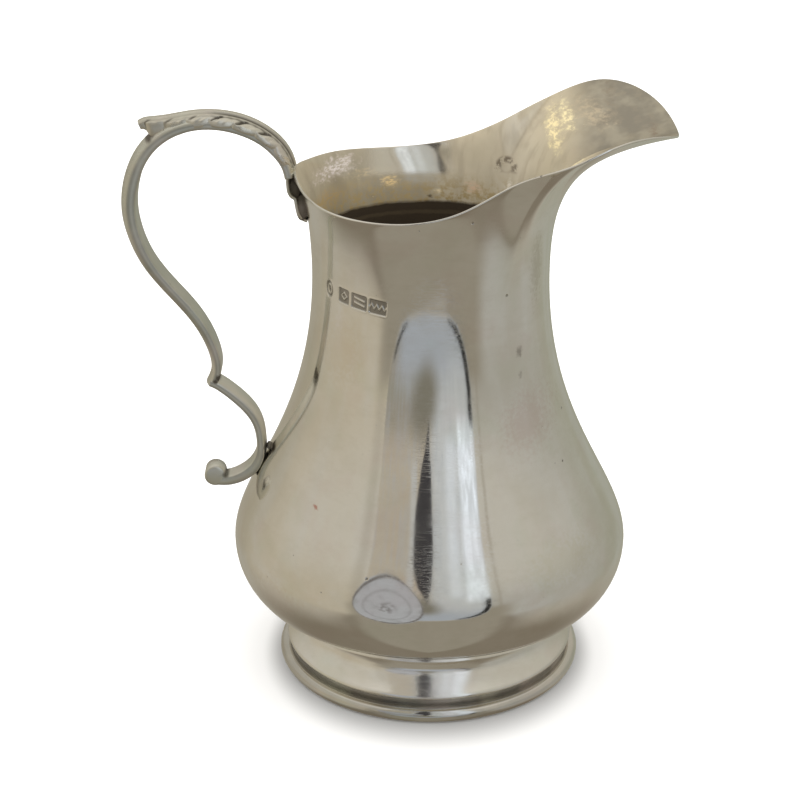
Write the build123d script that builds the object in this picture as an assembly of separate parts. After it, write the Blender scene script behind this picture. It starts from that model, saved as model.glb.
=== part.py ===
from build123d import *
import math
import os

import numpy as np

# Silver cream jug: a raised baluster body with a drawn lip, a spread foot and a
# double-scroll handle with a leaf cap.  Millimetres, +Z up, +X towards the lip,
# handle at -X, origin at the centre of the foot's underside.

# ---- body ---------------------------------------------------------------
WALL = 0.7                # gauge of the raised sheet
BOTTOM_R = 5.0            # flat middle of the bottom, hidden inside the foot
BOTTOM_Z = 8.0
BOWL_FLAT = 9.65          # how far the bottom stays flat before it turns up
BOWL_RISE = 14.0          # how early the bowl turns upright below the belly
BELLY_R = 34.25
BELLY_Z = 23.9
BELLY_FULL = 9.1          # how long the belly stays upright above its widest ring
NECK_R = 19.95            # at the lip and at the handle
NECK_SIDE = 19.3          # at the sides, where the neck is a little narrower
NECK_Z = 73.0
NECK_LONG = 27.6          # how far down the neck stays upright

# Middle of the sheet along the mouth, from the handle round to the tip of the
# lip; the other half is its mirror image in the XZ plane.
MOUTH_EDGE = [
    (-22.5, 0.0, 90.3),
    (-20.9, 8.4, 89.2),
    (-15.6, 16.6, 88.2),
    (-6.0, 20.3, 87.75),
    (4.0, 19.75, 89.3),
    (12.0, 17.9, 93.0),
    (16.6, 18.9, 95.2),
    (22.4, 20.4, 97.6),
    (28.5, 19.1, 100.0),
    (34.2, 15.0, 100.2),
    (38.6, 8.5, 98.4),
    (40.2, 0.0, 96.8),
]
# How the wall flares from the neck to that edge.  The two values of each pair
# are for the upright side walls and for the tip of the lip.
FLARE_START = (0.15, 0.6)     # share of the height that stays upright
FLARE_END = (0.145, 0.555)    # reach of the edge's own slope
EDGE_SLOPE = (63.0, 13.0)     # slope of the wall at the edge, degrees
FLARE_POWER = 0.85
SIDE_REACH = 20.2             # edge radius that counts as side wall
LIP_REACH = 39.0              # edge radius that counts as lip
EDGE_STAGE = 2.5              # from here up the sheet centres on the mouth edge

ROUND_STEPS = 24              # uprights in half of the wall
UP_STEPS = (8, 9, 9)          # points up each stage: bowl, neck, mouth
SIDE_U = 0.25                 # an upright of ordinary length, that spaces the others

# ---- four blank cartouches struck below the mouth -------------------------
MARK_DEPTH = 0.18
SHIELD_WIDE = 1.9             # the first mark is an upright oval
SHIELD_HIGH = 2.9
BLOCK_WIDE = 2.3              # the others are rounded oblongs
BLOCK_HIGH = 2.45
BLOCK_CORNER = 0.35
PUNCH_LONG = 1.0
MARK_AZIMUTHS = (212.5, 223.3, 232.8, 243.2)   # degrees round from the lip
MARK_TOP_Z = 73.4             # middle of the first mark
MARK_STEP_Z = -0.25           # each next mark sits a little lower

# ---- foot -----------------------------------------------------------------
WIRE_IN_R = 23.6              # base wire, half round outside and flat below
WIRE_REST_R = 25.6
WIRE_OUT_R = 26.67
WIRE_HIGH = 2.6
COLLET_GAUGE = 0.8
GROOVE_R = 24.9               # collet just above the base wire
ROLL_R = 25.25                # small rolled edge above the groove
ROLL_Z = 4.4
COLLET_WAIST_R = 22.75
COLLET_WAIST_Z = 8.4
COLLET_TOP_R = 23.45
COLLET_TOP_Z = 10.7

# ---- handle ---------------------------------------------------------------
# Middle line of each scroll in the XZ plane.  Thickness and width are given at
# evenly spaced places along it.
UPPER_LINE = [
    (-23.1, 89.4),
    (-23.55, 91.3),
    (-24.6, 93.2),
    (-27.3, 95.9),
    (-31.0, 97.8),
    (-35.0, 98.7),
    (-39.4, 98.5),
    (-43.6, 96.9),
    (-46.9, 94.0),
    (-49.1, 89.8),
    (-50.1, 84.6),
    (-49.5, 79.6),
    (-47.3, 74.2),
    (-43.7, 69.3),
    (-40.3, 65.1),
    (-37.7, 60.5),
    (-36.5, 55.9),
    (-36.9, 53.6),
    (-37.6, 52.1),
]
UPPER_THICK = (1.9, 2.0, 2.6, 2.1, 1.8)
UPPER_WIDE = (5.4, 5.3, 5.0, 4.8, 4.5)
LOWER_LINE = [
    (-37.6, 53.0),
    (-36.3, 52.4),
    (-33.6, 50.3),
    (-30.9, 47.4),
    (-29.55, 44.6),
    (-29.15, 41.8),
    (-29.3, 39.2),
    (-30.45, 36.7),
    (-32.5, 34.95),
    (-35.0, 34.05),
    (-36.9, 34.15),
]
LOWER_THICK = (1.7, 1.8, 1.6, 2.0, 1.8)
LOWER_WIDE = (4.5, 4.6, 4.4, 3.9, 3.4)
UPPER_FLANK = 0.45            # share of the thickness that is flat flank
LOWER_FLANK = 0.6
CURL_X, CURL_Z, CURL_R = -37.4, 34.95, 1.85
CURL_WIDE = 3.7
SECTIONS = 22

# Leaf cap: middle line, width and height of its ridge above that line.
LEAF_LINE = [
    (-22.9, 91.2),
    (-24.2, 93.7),
    (-27.0, 96.6),
    (-30.9, 98.5),
    (-35.0, 99.3),
    (-39.4, 99.1),
    (-43.2, 98.5),
    (-46.0, 98.1),
    (-47.9, 97.9),
]
LEAF_WIDE = (5.9, 6.1, 6.0, 4.6, 1.6)
LEAF_THICK = (1.2, 1.4, 1.4, 2.0, 1.3)
LEAF_FLANK = 0.2              # share of the thickness at the leaf's edges
LEAF_SCALLOPS = 5             # lobes along each edge
LEAF_SCALLOP_DEEP = 0.35

# Two lobes that drop from the bar down the neck: middle and half sizes.
DROP_LOBES = [
    (-22.55, 88.0, 1.35, 2.2),
    (-21.6, 84.1, 1.15, 2.45),
]
DROP_GAUGE = 0.65             # strap round each lobe
DROP_WIDE = 4.3
DROP_WEB = 2.8                # the lobes' sunk middles

# Solder fillets.  Each outline reaches a little way into the parts it joins and
# is trimmed by them.
SEAM_LEG = 0.5
NECK_SOLDER = [(-22.9, 88.2), (-22.9, 90.0), (-21.9, 90.0), (-21.4, 88.2)]
NECK_SOLDER_WIDE = 5.1
BELLY_SOLDER_ABOVE = [(-28.6, 39.6), (-28.5, 40.7), (-27.2, 40.7), (-27.8, 39.6)]
BELLY_SOLDER_BELOW = [(-31.2, 35.7), (-31.4, 34.8), (-30.2, 34.8), (-29.7, 35.7)]
BELLY_SOLDER_WIDE = 3.0


# ---- the wall's shape -----------------------------------------------------
def closed_spline(points):
    """Smooth closed curve through the points, as a function of u in 0..1."""
    steps = np.linalg.norm(np.roll(points, -1, axis=0) - points, axis=1) ** 0.5
    count = len(points)
    system = np.zeros((count, count))
    target = np.zeros((count, 3))
    for i in range(count):
        before, after = steps[i - 1], steps[i]
        system[i, i - 1] = after
        system[i, i] = 2 * (before + after)
        system[i, (i + 1) % count] = before
        rise = (points[(i + 1) % count] - points[i]) / after
        fall = (points[i] - points[i - 1]) / before
        target[i] = 3 * (before * rise + after * fall)
    slopes = np.linalg.solve(system, target)
    knots = np.concatenate([[0.0], np.cumsum(steps)])

    def at(u):
        s = (u % 1.0) * knots[-1]
        i = min(int(np.searchsorted(knots, s, side="right")) - 1, count - 1)
        h = steps[i]
        w = (s - knots[i]) / h
        p, q = points[i], points[(i + 1) % count]
        mp, mq = slopes[i] * h, slopes[(i + 1) % count] * h
        return (
            (2 * w**3 - 3 * w**2 + 1) * p
            + (w**3 - 2 * w**2 + w) * mp
            + (3 * w**2 - 2 * w**3) * q
            + (w**3 - w**2) * mq
        )

    return at


def bezier(points, t):
    """Point at t on a cubic Bezier curve."""
    a, b, c, d = np.array(points, float)
    s = 1 - t
    return s**3 * a + 3 * s**2 * t * b + 3 * s * t**2 * c + t**3 * d


MIRRORED_EDGE = [(x, -y, z) for x, y, z in reversed(MOUTH_EDGE[1:-1])]
mouth_edge = closed_spline(np.array(MOUTH_EDGE + MIRRORED_EDGE))


def wall_point(u, t):
    """Drawn shape of the body: u goes round the mouth, t runs 0..3 up the wall."""
    edge = mouth_edge(u)
    turn = math.atan2(edge[1], edge[0])
    reach = math.hypot(edge[0], edge[1])
    neck = NECK_R + (NECK_SIDE - NECK_R) * math.sin(turn) ** 2
    stage = min(int(t), 2)
    if stage == 0:
        curve = [
            (BOTTOM_R, BOTTOM_Z),
            (BOTTOM_R + BOWL_FLAT, BOTTOM_Z),
            (BELLY_R, BELLY_Z - BOWL_RISE),
            (BELLY_R, BELLY_Z),
        ]
    elif stage == 1:
        curve = [
            (BELLY_R, BELLY_Z),
            (BELLY_R, BELLY_Z + BELLY_FULL),
            (neck, NECK_Z - NECK_LONG),
            (neck, NECK_Z),
        ]
    else:
        share = (reach - SIDE_REACH) / (LIP_REACH - SIDE_REACH)
        share = min(max(share, 0), 1)
        lip = share**FLARE_POWER
        start = FLARE_START[0] * (1 - lip) + FLARE_START[1] * lip
        end = FLARE_END[0] * (1 - lip) + FLARE_END[1] * lip
        slope = math.radians(EDGE_SLOPE[0] * (1 - share) + EDGE_SLOPE[1] * share)
        pull = end * math.hypot(reach - neck, edge[2] - NECK_Z)
        curve = [
            (neck, NECK_Z),
            (neck, NECK_Z + start * (edge[2] - NECK_Z)),
            (reach - pull * math.cos(slope), edge[2] - pull * math.sin(slope)),
            (reach, edge[2]),
        ]
    radius, height = bezier(curve, t - stage)
    return np.array([radius * math.cos(turn), radius * math.sin(turn), height])


def wall_offset(u, t, inside):
    """Face of the sheet: its outside, or its inside one gauge further in."""
    step = 1e-4
    along = wall_point(u + step, t) - wall_point(u - step, t)
    up = wall_point(u, min(t + step, 3)) - wall_point(u, max(t - step, 0))
    inward = np.cross(along, up)
    inward /= np.linalg.norm(inward)
    rise = min(max((t - EDGE_STAGE) / (3 - EDGE_STAGE), 0), 1)
    centring = 0.5 * WALL * rise**2 * (3 - 2 * rise)
    depth = WALL - centring if inside else -centring
    return wall_point(u, t) + depth * inward


def wall_skin(inside):
    """Half of one face of the wall (y >= 0), lofted through its uprights."""
    places = [k + j / n for k, n in enumerate(UP_STEPS) for j in range(n)] + [3]
    typical = np.array([wall_point(SIDE_U, t) for t in places])
    lengths = np.cumsum(np.linalg.norm(np.diff(typical, axis=0), axis=1))
    knots = [0.0] + [float(length / lengths[-1]) for length in lengths]
    uprights = []
    for i in range(ROUND_STEPS + 1):
        u = 0.5 * i / ROUND_STEPS
        points = [Vector(*wall_offset(u, t, inside)) for t in places]
        uprights.append(Wire([Edge.make_spline(points, parameters=knots)]))
    return Shell.make_loft(uprights).faces()[0]


def end_edges(skin):
    """A skin's mouth edge and bottom edge."""
    flat = [edge for edge in skin.edges() if edge.bounding_box().size.Y > 1]
    flat.sort(key=lambda edge: edge.center().Z)
    return flat[-1], flat[0]


# ---- raised body ----------------------------------------------------------
def raised_body():
    """Raised in one sheet: bowl, neck and drawn lip, open at the mouth."""
    faces = []
    for inside in (False, True):
        half = wall_skin(inside)
        mouth, bottom = end_edges(half)
        other = half.mirror(Plane.XZ)
        ring = [bottom, end_edges(other)[1]]
        faces += [half, other, Face(Wire(ring))]
        if inside:
            outer_mouth = end_edges(faces[0])[0]
            lip = Face.make_surface_from_curves(outer_mouth, mouth)
            faces += [lip, lip.mirror(Plane.XZ)]
    return Solid(Shell(faces))


def mark_punch(azimuth, height, shield):
    """The stamp for one cartouche, standing square on the neck."""
    turn = math.radians(azimuth)
    out = Vector(math.cos(turn), math.sin(turn), 0)
    radius = outside_radius(azimuth, height)
    seat = Plane(origin=out * (radius - MARK_DEPTH) + Vector(0, 0, height),
                 x_dir=(-math.sin(turn), math.cos(turn), 0), z_dir=out)
    if shield:
        shape = Ellipse(0.5 * SHIELD_WIDE, 0.5 * SHIELD_HIGH)
    else:
        shape = RectangleRounded(BLOCK_WIDE, BLOCK_HIGH, BLOCK_CORNER)
    return extrude(seat * shape, amount=PUNCH_LONG)


def outside_radius(azimuth, height):
    """Radius of the neck's outside at an azimuth (degrees) and a height."""
    low, high = 1.0, 3.0
    u = mouth_parameter(azimuth)
    for _ in range(30):
        middle = 0.5 * (low + high)
        if wall_point(u, middle)[2] < height:
            low = middle
        else:
            high = middle
    place = wall_point(u, low)
    return math.hypot(place[0], place[1])


def mouth_parameter(azimuth):
    """Where along the mouth edge the wall stands at an azimuth (degrees)."""
    low, high = 0.5, 1.0        # tip of the lip, then the near side to the handle
    for _ in range(30):
        middle = 0.5 * (low + high)
        x, y, _ = mouth_edge(middle)
        if math.degrees(math.atan2(y, x)) % 360 > azimuth:
            low = middle
        else:
            high = middle
    return low


def body():
    """The raised body with its four struck cartouches."""
    jug = raised_body()
    for i, azimuth in enumerate(MARK_AZIMUTHS):
        jug -= mark_punch(azimuth, MARK_TOP_Z + i * MARK_STEP_Z, shield=i == 0)
    return jug


# ---- foot -----------------------------------------------------------------
def foot_rim_wire():
    """Base wire of the foot: flat where it rests, round on the outside."""
    with BuildSketch(Plane.XZ) as section:
        with BuildLine():
            Line((WIRE_IN_R, 0), (WIRE_REST_R, 0))
            ThreePointArc(
                (WIRE_REST_R, 0),
                (WIRE_OUT_R, 0.5 * WIRE_HIGH),
                (WIRE_REST_R, WIRE_HIGH),
            )
            Line((WIRE_REST_R, WIRE_HIGH), (WIRE_IN_R, WIRE_HIGH))
            Line((WIRE_IN_R, WIRE_HIGH), (WIRE_IN_R, 0))
        make_face()
    return revolve(section.sketch, Axis.Z)


def foot_collet(jug):
    """Spun ring between the base wire and the body, waisted in the middle."""
    outer = [
        (ROLL_R, ROLL_Z),
        (0.5 * (ROLL_R + COLLET_WAIST_R), 0.5 * (ROLL_Z + COLLET_WAIST_Z) - 0.35),
        (COLLET_WAIST_R, COLLET_WAIST_Z),
        (COLLET_TOP_R, COLLET_TOP_Z),
    ]
    inner = [(x - COLLET_GAUGE, z) for x, z in outer]
    with BuildSketch(Plane.XZ) as section:
        with BuildLine():
            Line((GROOVE_R - COLLET_GAUGE, WIRE_HIGH), (GROOVE_R, WIRE_HIGH))
            Line((GROOVE_R, WIRE_HIGH), (GROOVE_R, ROLL_Z - 0.4))
            ThreePointArc(
                (GROOVE_R, ROLL_Z - 0.4), (ROLL_R + 0.1, ROLL_Z - 0.15), (ROLL_R, ROLL_Z)
            )
            Spline(*outer)
            Line(outer[-1], inner[-1])
            Spline(*inner[::-1])
            Line(inner[0], (GROOVE_R - COLLET_GAUGE, WIRE_HIGH))
        make_face()
    return revolve(section.sketch, Axis.Z) - jug


def foot_seam_solder(jug, collet):
    """Fillet of solder round the outside of the seam between foot and body."""
    with BuildSketch(Plane.XZ) as section:
        with BuildLine():
            Polyline(
                (COLLET_TOP_R - SEAM_LEG, COLLET_TOP_Z - 2 * SEAM_LEG),
                (COLLET_TOP_R - 0.2 * SEAM_LEG, COLLET_TOP_Z - 2 * SEAM_LEG),
                (COLLET_TOP_R + 1.2 * SEAM_LEG, COLLET_TOP_Z + 0.4 * SEAM_LEG),
                (COLLET_TOP_R - 0.2 * SEAM_LEG, COLLET_TOP_Z),
                close=True,
            )
        make_face()
    return revolve(section.sketch, Axis.Z) - jug - collet


# ---- handle ---------------------------------------------------------------
def spread(values, share):
    """Value at a share of the way along a few evenly placed values."""
    place = share * (len(values) - 1)
    i = min(int(place), len(values) - 2)
    w = place - i
    w = w * w * (3 - 2 * w)
    return values[i] * (1 - w) + values[i + 1] * w


def bar_section(place, along, side, wide, thick, flank):
    """D-shaped section of a bar: flat on one face, crowned on the other."""
    crown = Vector(side * along.Z, 0, -side * along.X)
    seat = Plane(origin=place, x_dir=(0, 1, 0), z_dir=Vector(0, 1, 0).cross(crown))
    flat, shoulder = -0.5 * thick, (flank - 0.5) * thick
    low_left, low_right = (-0.5 * wide, flat), (0.5 * wide, flat)
    left, right = (-0.5 * wide, shoulder), (0.5 * wide, shoulder)
    outline = [
        Edge.make_line(low_left, low_right),
        Edge.make_line(low_right, right),
        Edge.make_three_point_arc(right, (0, 0.5 * thick), left),
        Edge.make_line(left, low_left),
    ]
    return Wire([seat.from_local_coords(edge) for edge in outline])


def scroll_bar(line, side, thick, wide, flank):
    """Tapered bar along a middle line in the XZ plane."""
    path = Edge.make_spline([Vector(x, 0, z) for x, z in line])
    sections = []
    for i in range(SECTIONS + 1):
        share = i / SECTIONS
        sections.append(
            bar_section(
                path.position_at(share),
                path.tangent_at(share),
                side,
                spread(wide, share),
                spread(thick, share),
                flank,
            )
        )
    return Solid.make_loft(sections)


def largest(shape):
    """The main solid that is left when a piece is trimmed by its neighbours."""
    return Part(shape.solids().sort_by(SortBy.VOLUME)[-1].wrapped)


def across(shape, wide):
    """A flat XZ shape made into a plate that is centred on the XZ plane."""
    return extrude(Plane.XZ * shape, amount=0.5 * wide, both=True)


def handle_upper_scroll(jug):
    """Long S-scroll from the mouth, over the back, down to the heel."""
    return scroll_bar(UPPER_LINE, 1, UPPER_THICK, UPPER_WIDE, UPPER_FLANK) - jug


def handle_lower_scroll(jug, upper):
    """C-scroll from the heel to the belly, ending in a rolled curl."""
    bar = scroll_bar(LOWER_LINE, -1, LOWER_THICK, LOWER_WIDE, LOWER_FLANK)
    curl = across(Pos(CURL_X, CURL_Z) * Circle(CURL_R), CURL_WIDE)
    return bar + curl - upper - jug


def handle_leaf_cap(jug, upper):
    """Leaf laid over the top of the upper scroll, with its tip standing free."""
    path = Edge.make_spline([Vector(x, 0, z) for x, z in LEAF_LINE])
    sections = []
    for i in range(SECTIONS + 1):
        share = i / SECTIONS
        scallop = abs(math.sin(math.pi * LEAF_SCALLOPS * share))
        wide = spread(LEAF_WIDE, share) - 2 * LEAF_SCALLOP_DEEP * (1 - scallop) * (1 - share)
        sections.append(
            bar_section(
                path.position_at(share),
                path.tangent_at(share),
                1,
                wide,
                spread(LEAF_THICK, share),
                LEAF_FLANK,
            )
        )
    return Solid.make_loft(sections) - upper - jug


def handle_drop(jug, upper):
    """Double-lobed drop under the bar: two short scrolls on the neck, with sunk sides."""
    outline = Sketch()
    middles = Sketch()
    for x, z, half_x, half_z in DROP_LOBES:
        outline += Pos(x, z) * Ellipse(half_x, half_z)
        middles += Pos(x, z) * Ellipse(half_x - DROP_GAUGE, half_z - DROP_GAUGE)
    sunk = across(middles, DROP_WIDE) - across(middles, DROP_WEB)
    return largest(across(outline, DROP_WIDE) - sunk - upper - jug)


def handle_neck_solder(jug, upper, drop):
    """Solder in the corners between the bar's end, the drop and the neck."""
    block = across(make_face(Polyline(*NECK_SOLDER, close=True)), NECK_SOLDER_WIDE)
    return block - jug - upper - drop


def handle_belly_solder(jug, lower):
    """Solder above and below the place where the lower scroll meets the belly."""
    fillets = Part()
    for outline in (BELLY_SOLDER_ABOVE, BELLY_SOLDER_BELOW):
        fillets += across(make_face(Polyline(*outline, close=True)), BELLY_SOLDER_WIDE)
    return fillets - jug - lower


# ---- the whole jug --------------------------------------------------------
def build():
    """Every piece of the jug by name, each trimmed by the pieces it rests on."""
    jug = body()
    collet = foot_collet(jug)
    upper = handle_upper_scroll(jug)
    lower = handle_lower_scroll(jug, upper)
    drop = handle_drop(jug, upper)
    return {
        "body": jug,
        "foot_collet": collet,
        "foot_rim_wire": foot_rim_wire(),
        "foot_seam_solder": foot_seam_solder(jug, collet),
        "handle_upper_scroll": upper,
        "handle_lower_scroll": lower,
        "handle_leaf_cap": handle_leaf_cap(jug, upper),
        "handle_drop": drop,
        "handle_neck_solder": handle_neck_solder(jug, upper, drop),
        "handle_belly_solder": handle_belly_solder(jug, lower),
    }


os.makedirs("parts", exist_ok=True)
for name, part in build().items():
    export_step(part, f"parts/{name}.step")
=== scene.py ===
from math import atan2, cos, degrees, pi, radians, sin

import bmesh
import bpy
import numpy as np
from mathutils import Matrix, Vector


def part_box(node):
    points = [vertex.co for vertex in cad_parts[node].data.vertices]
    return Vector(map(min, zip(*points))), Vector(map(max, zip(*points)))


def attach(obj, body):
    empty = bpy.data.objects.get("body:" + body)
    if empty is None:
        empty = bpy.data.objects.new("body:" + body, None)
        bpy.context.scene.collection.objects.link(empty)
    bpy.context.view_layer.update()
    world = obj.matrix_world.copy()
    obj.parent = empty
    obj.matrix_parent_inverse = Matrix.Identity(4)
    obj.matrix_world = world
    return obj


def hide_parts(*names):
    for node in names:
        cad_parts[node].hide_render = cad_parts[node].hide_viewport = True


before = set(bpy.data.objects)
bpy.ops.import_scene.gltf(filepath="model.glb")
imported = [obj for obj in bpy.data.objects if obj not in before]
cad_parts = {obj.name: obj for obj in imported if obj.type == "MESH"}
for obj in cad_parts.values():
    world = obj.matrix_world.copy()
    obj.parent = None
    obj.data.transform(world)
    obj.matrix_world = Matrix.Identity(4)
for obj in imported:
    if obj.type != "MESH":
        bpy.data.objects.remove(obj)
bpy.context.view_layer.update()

MM = 0.001

# Sizes are in millimetres, in the row's frame; new_piece() turns them into metres.
# ---- sizes read from the frame ----
BODY_LOW, BODY_HIGH = [np.array(c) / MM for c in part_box("body")]
WIRE_HIGH = np.array(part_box("foot_rim_wire")[1]) / MM

# ---- shape of the body ----
WALL = 0.7
EDGE_GAUGE = 0.36
BOTTOM_R, BOTTOM_Z = 5.0, BODY_LOW[2]
BOWL_FLAT, BOWL_RISE = 9.65, 14.0
BELLY_R, BELLY_Z, BELLY_FULL = BODY_HIGH[1], 23.9, 9.1
NECK_R, NECK_SIDE, NECK_Z, NECK_LONG = 19.95, 19.3, 73.0, 27.6
MOUTH_EDGE = [
    (-22.5, 0.0, 90.3), (-20.9, 8.4, 89.2), (-15.6, 16.6, 88.2), (-6.0, 20.3, 87.75),
    (4.0, 19.75, 89.3), (12.0, 17.9, 93.0), (16.6, 18.9, 95.2), (22.4, 20.4, 97.6),
    (28.5, 19.1, 100.0), (34.2, 15.0, 100.2), (38.6, 8.5, 98.4), (40.2, 0.0, 96.8),
]
FLARE_START, FLARE_END = (0.15, 0.6), (0.145, 0.555)
EDGE_SLOPE, FLARE_POWER = (63.0, 13.0), 0.85
SIDE_REACH, LIP_REACH, EDGE_STAGE = 20.2, 39.0, 2.5


def spline_slopes(points, steps, closed):
    """Slopes that make a cubic curve through the points smooth."""
    count = len(points)
    system, target = np.zeros((count, count)), np.zeros(points.shape)
    for i in range(count):
        if not closed and i in (0, count - 1):
            j = 1 if i == 0 else count - 2
            h = steps[0] if i == 0 else steps[-1]
            system[i, i], system[i, j] = 2, 1
            target[i] = 3 * (points[max(i, j)] - points[min(i, j)]) / h
            continue
        before, after = steps[i - 1], steps[i]
        system[i, i - 1], system[i, i] = after, 2 * (before + after)
        system[i, (i + 1) % count] = before
        rise = (points[(i + 1) % count] - points[i]) / after
        fall = (points[i] - points[i - 1]) / before
        target[i] = 3 * (before * rise + after * fall)
    return np.linalg.solve(system, target)


def smooth_curve(points, closed=False, power=0.5):
    """Smooth curve through the points: a function from u in 0..1 to places and directions."""
    points = np.array(points, float)
    follow = np.roll(points, -1, axis=0) if closed else points[1:]
    steps = np.linalg.norm(follow - points[: len(follow)], axis=1) ** power
    slopes = spline_slopes(points, steps, closed)
    knots = np.concatenate([[0.0], np.cumsum(steps)])

    def at(u):
        u = np.atleast_1d(np.asarray(u, float))
        s = (u % 1.0 if closed else np.clip(u, 0, 1)) * knots[-1]
        i = np.clip(np.searchsorted(knots, s, side="right") - 1, 0, len(steps) - 1)
        j = (i + 1) % len(points)
        h = steps[i][:, None]
        w = ((s - knots[i]) / steps[i])[:, None]
        p, q, mp, mq = points[i], points[j], slopes[i] * h, slopes[j] * h
        place = ((2 * w**3 - 3 * w**2 + 1) * p + (w**3 - 2 * w**2 + w) * mp
                 + (3 * w**2 - 2 * w**3) * q + (w**3 - w**2) * mq)
        way = ((6 * w**2 - 6 * w) * (p - q) + (3 * w**2 - 4 * w + 1) * mp
               + (3 * w**2 - 2 * w) * mq) / h
        return place, way / np.linalg.norm(way, axis=1)[:, None]

    return at


def bezier(points, t):
    """Points at t on cubic Bezier curves; points is a list of four, each (..., 2)."""
    a, b, c, d = points
    s = 1 - t
    return s**3 * a + 3 * s**2 * t * b + 3 * s * t**2 * c + t**3 * d


mouth_edge = smooth_curve(MOUTH_EDGE + [(x, -y, z) for x, y, z in MOUTH_EDGE[-2:0:-1]], closed=True)


def wall_points(u, t):
    """Drawn shape of the body for arrays u (round the mouth) and t (0..3 up the wall)."""
    edge = mouth_edge(u)[0]
    turn = np.arctan2(edge[:, 1], edge[:, 0])
    reach = np.hypot(edge[:, 0], edge[:, 1])
    t = np.asarray(t, float)
    stage = np.clip(t.astype(int), 0, 2)
    w = (t - stage)[:, None]
    neck = NECK_R + (NECK_SIDE - NECK_R) * np.sin(turn) ** 2
    one = np.ones(len(reach))

    def curve_of(*corners):
        return np.stack([np.stack([r * one, z * one], -1) for r, z in corners])

    bowl = curve_of((BOTTOM_R, BOTTOM_Z), (BOTTOM_R + BOWL_FLAT, BOTTOM_Z),
                    (BELLY_R, BELLY_Z - BOWL_RISE), (BELLY_R, BELLY_Z))
    swell = curve_of((BELLY_R, BELLY_Z), (BELLY_R, BELLY_Z + BELLY_FULL),
                     (neck, NECK_Z - NECK_LONG), (neck, NECK_Z))
    share = np.clip((reach - SIDE_REACH) / (LIP_REACH - SIDE_REACH), 0, 1)
    lip = share ** FLARE_POWER
    start = FLARE_START[0] * (1 - lip) + FLARE_START[1] * lip
    end = FLARE_END[0] * (1 - lip) + FLARE_END[1] * lip
    slope = np.radians(EDGE_SLOPE[0] * (1 - share) + EDGE_SLOPE[1] * share)
    pull = end * np.hypot(reach - neck, edge[:, 2] - NECK_Z)
    flare = curve_of((neck, NECK_Z), (neck, NECK_Z + start * (edge[:, 2] - NECK_Z)),
                     (reach - pull * np.cos(slope), edge[:, 2] - pull * np.sin(slope)), (reach, edge[:, 2]))
    rz = bezier(np.choose(stage[None, :, None], [bowl, swell, flare]), w)
    return np.stack([rz[:, 0] * np.cos(turn), rz[:, 0] * np.sin(turn), rz[:, 1]], -1)


def wall_grid(us, ts):
    """Places, inward directions and upward directions of the wall on a grid of us by ts."""
    u, t = [g.ravel() for g in np.meshgrid(us, ts, indexing="ij")]
    h = 1e-4
    along = wall_points(u + h, t) - wall_points(u - h, t)
    up = wall_points(u, np.minimum(t + h, 3)) - wall_points(u, np.maximum(t - h, 0))
    inward = np.cross(along, up)
    inward /= np.linalg.norm(inward, axis=1)[:, None]
    up /= np.linalg.norm(up, axis=1)[:, None]
    shape = (len(us), len(ts), 3)
    return wall_points(u, t).reshape(shape), inward.reshape(shape), up.reshape(shape)


def smooth_step(x):
    x = np.clip(x, 0, 1)
    return x * x * (3 - 2 * x)


def between(x, low, high):
    """0 below low, 1 above high, smooth between."""
    return smooth_step((x - low) / (high - low))


def azimuth_of(places):
    return np.degrees(np.arctan2(places[..., 1], places[..., 0])) % 360


# ---- mesh helpers ----
def new_object(name, data):
    thing = bpy.data.objects.new(name, data)
    bpy.context.scene.collection.objects.link(thing)
    return thing


def new_piece(name, places, quads, node):
    """A mesh piece in metres that rides on the root body and stands for a CAD node."""
    mesh = bpy.data.meshes.new(name)
    mesh.from_pydata((np.asarray(places) * MM).tolist(), [], quads)
    mesh.validate()
    skin = bmesh.new()
    skin.from_mesh(mesh)
    bmesh.ops.recalc_face_normals(skin, faces=skin.faces)
    skin.to_mesh(mesh)
    skin.free()
    mesh.update()
    mesh.polygons.foreach_set("use_smooth", [True] * len(mesh.polygons))
    piece = new_object(name, mesh)
    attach(piece, "root")
    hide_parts(node)
    return piece


def grid_quads(rows, columns, close_rows, close_columns):
    """Quads of a rows by columns grid, joined end to end where asked."""
    last_row = rows if close_rows else rows - 1
    last_column = columns if close_columns else columns - 1
    r, c = np.meshgrid(np.arange(last_row), np.arange(last_column), indexing="ij")
    r, c = r.ravel(), c.ravel()
    r1, c1 = (r + 1) % rows, (c + 1) % columns
    corners = [r * columns + c, r * columns + c1, r1 * columns + c1, r1 * columns + c]
    return np.stack(corners, -1).tolist()


def add_attribute(piece, name, values):
    """A number per vertex that the material reads."""
    attribute = piece.data.attributes.new(name, "FLOAT", "POINT")
    attribute.data.foreach_set("value", np.asarray(values, np.float32))


# ---- struck marks ----
# Four blank cartouches with plain geometric figures, struck into the neck.
MARK_AZIMUTHS = (212.5, 223.3, 232.8, 243.2)
MARK_HEIGHTS = (73.4, 73.15, 72.9, 72.65)
MARK_HALF_WIDE = (0.95, 1.15, 1.55, 1.6)
MARK_HALF_HIGH = (1.45, 1.3, 1.3, 1.25)
MARK_DEPTH, MARK_DARK = 0.2, 0.75
MARK_TILT = radians(-4)
BURR_HIGH = 0.03


def box_distance(x, y, half_x, half_y, corner):
    """Signed distance to a rounded rectangle, negative inside."""
    dx, dy = np.abs(x) - half_x + corner, np.abs(y) - half_y + corner
    return np.hypot(np.maximum(dx, 0), np.maximum(dy, 0)) + np.minimum(np.maximum(dx, dy), 0) - corner


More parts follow.
